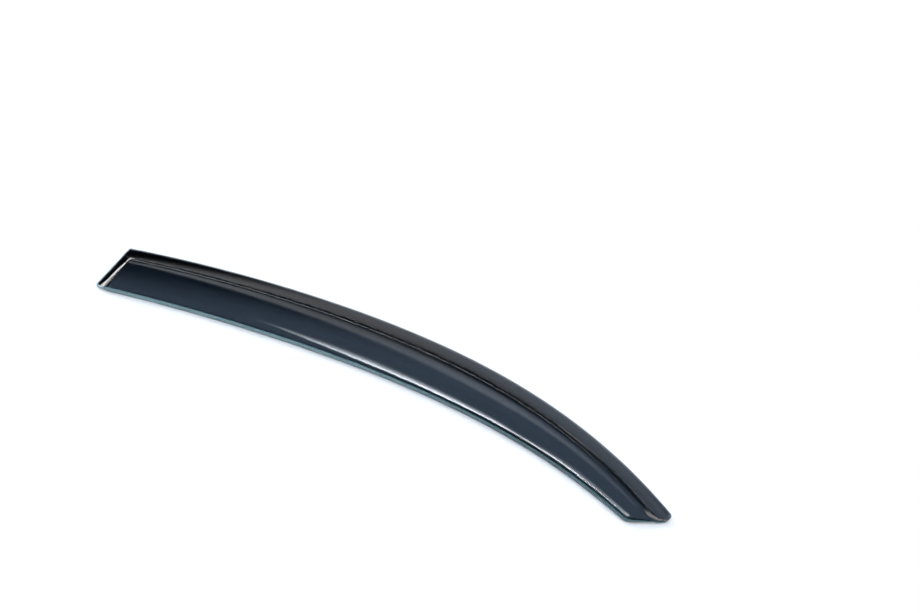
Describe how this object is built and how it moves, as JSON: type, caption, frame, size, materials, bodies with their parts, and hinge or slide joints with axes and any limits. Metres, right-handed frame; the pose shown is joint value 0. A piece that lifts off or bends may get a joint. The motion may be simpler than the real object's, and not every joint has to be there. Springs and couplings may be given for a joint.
{
  "type": "window rain deflector",
  "caption": "Curved tinted acrylic visor for a car's rear side window, with a stick-on flange, a stepped crowned face and a turned-down free edge.",
  "frame": {"origin": "middle of the part's box, on the plane under the release liners", "axes": "+X from the wide end to the tip, +Y from the free edge to the mounting flange, +Z away from the car"},
  "size_m": [0.7392, 0.1346, 0.0129],
  "materials": {
    "tinted_acrylic": "polished smoke-tinted clear sheet with bare cut edges",
    "foam_tape": "closed-cell foam",
    "release_liner": "smooth film"
  },
  "bodies": {
    "root": {"visor_shell": "tinted_acrylic", "top_tape": "foam_tape", "end_tape": "foam_tape", "top_liner": "release_liner", "end_liner": "release_liner"}
  },
  "joints": []
}
